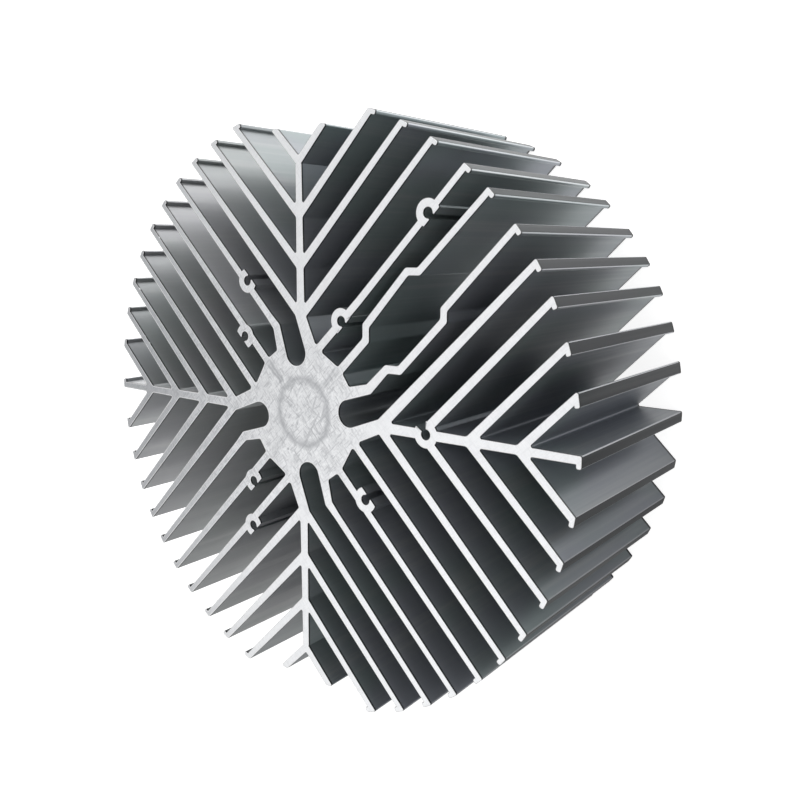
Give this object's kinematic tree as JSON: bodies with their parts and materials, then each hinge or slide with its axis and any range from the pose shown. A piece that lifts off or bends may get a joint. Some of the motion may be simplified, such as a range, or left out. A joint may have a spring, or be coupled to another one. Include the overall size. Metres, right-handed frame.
{
  "type": "round heat sink",
  "caption": "Short length of a round extruded aluminium heat sink: a solid hub, four spines and parallel fins in four quadrants, with open screw ports between the fins.",
  "frame": {"origin": "centre of the lower sawn end", "axes": "+Z along the extrusion to the upper sawn end; +X along the spine that carries a screw port; +Y a quarter turn anticlockwise from it, along a forked spine"},
  "size_m": [0.16, 0.1538, 0.061],
  "materials": {
    "heat_sink": "black anodised along the extrusion, both sawn ends bare metal"
  },
  "bodies": {
    "root": {"heat_sink": "heat_sink"}
  },
  "joints": []
}
